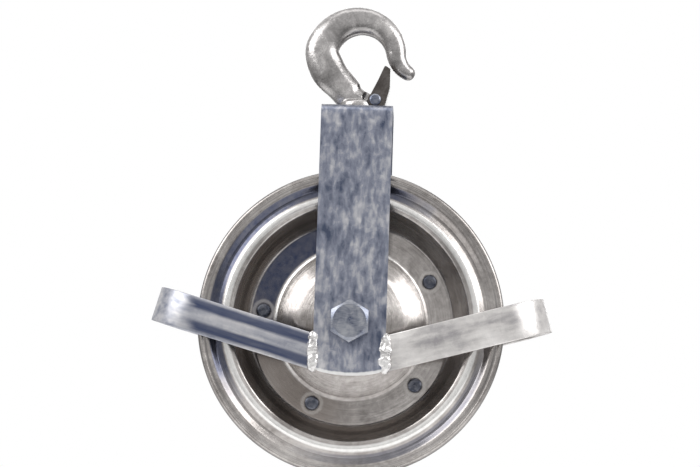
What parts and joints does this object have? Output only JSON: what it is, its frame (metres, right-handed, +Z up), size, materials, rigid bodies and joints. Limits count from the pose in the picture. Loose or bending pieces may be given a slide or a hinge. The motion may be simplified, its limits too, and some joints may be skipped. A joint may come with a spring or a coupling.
{
  "type": "rope pulley",
  "caption": "Rope pulley: a grooved pressed-steel wheel in a folded flat-bar yoke with rope guards, hung from a forged swivel hook with a sprung safety latch.",
  "frame": {"origin": "the hook's saddle, inside the top of its bowl, where the load line bears", "axes": "+Z up along the swivel's axis, +X towards the hook's mouth, -Y towards the bolt's head; the wheel turns about Y"},
  "size_m": [0.2638, 0.0905, 0.3111],
  "materials": {
    "hook_forging": "forged steel, zinc plated, smooth with dull patches",
    "latch_sheet": "thin sheet steel, dark plated",
    "spring_steel": "drawn spring wire",
    "strap_zinc": "flat bar, hot-dip galvanised, blue-grey with mottled streaks",
    "guard_zinc": "flat bar, galvanised, brighter than the yoke",
    "weld_metal": "weld bead, rippled and bright",
    "wheel_sheet": "pressed sheet steel, zinc plated, turned sheen",
    "fastener_zinc": "zinc plated fastener",
    "bush_bronze": "sintered bronze"
  },
  "bodies": {
    "hook": {"hook": "hook_forging", "swivel_washer": "fastener_zinc", "swivel_nut": "fastener_zinc", "cotter_pin": "fastener_zinc", "latch_pin": "fastener_zinc"},
    "latch": {"latch": "latch_sheet", "latch_spring": "spring_steel"},
    "yoke": {"yoke": "strap_zinc", "rope_guard_left": "guard_zinc", "rope_guard_right": "guard_zinc", "weld_front_left": "weld_metal", "weld_front_right": "weld_metal", "weld_rear_left": "weld_metal", "weld_rear_right": "weld_metal", "axle_bolt": "fastener_zinc", "axle_washer": "fastener_zinc", "lock_washer": "fastener_zinc", "axle_nut": "fastener_zinc", "thrust_washer_front": "fastener_zinc", "thrust_washer_rear": "fastener_zinc"},
    "wheel": {"wheel_half_front": "wheel_sheet", "wheel_half_rear": "wheel_sheet", "web_rivets": "fastener_zinc", "hub_tube": "fastener_zinc", "bush_front": "bush_bronze", "bush_rear": "bush_bronze"}
  },
  "joints": [
    {"name": "hook_swivel", "type": "hinge", "parent": "hook", "child": "yoke", "pos_m": [0, 0, -0.053], "axis": [0, 0, 1], "continuous": true},
    {"name": "wheel_spin", "type": "hinge", "parent": "yoke", "child": "wheel", "pos_m": [0, 0, -0.1925], "axis": [0, 1, 0], "continuous": true},
    {"name": "latch_pivot", "type": "hinge", "parent": "hook", "child": "latch", "pos_m": [0.0112, 0, -0.0445], "axis": [0, -1, 0], "range_deg": [0, 35], "stiffness_Nm_per_rad": 0.02, "springref_deg": -17.19}
  ]
}
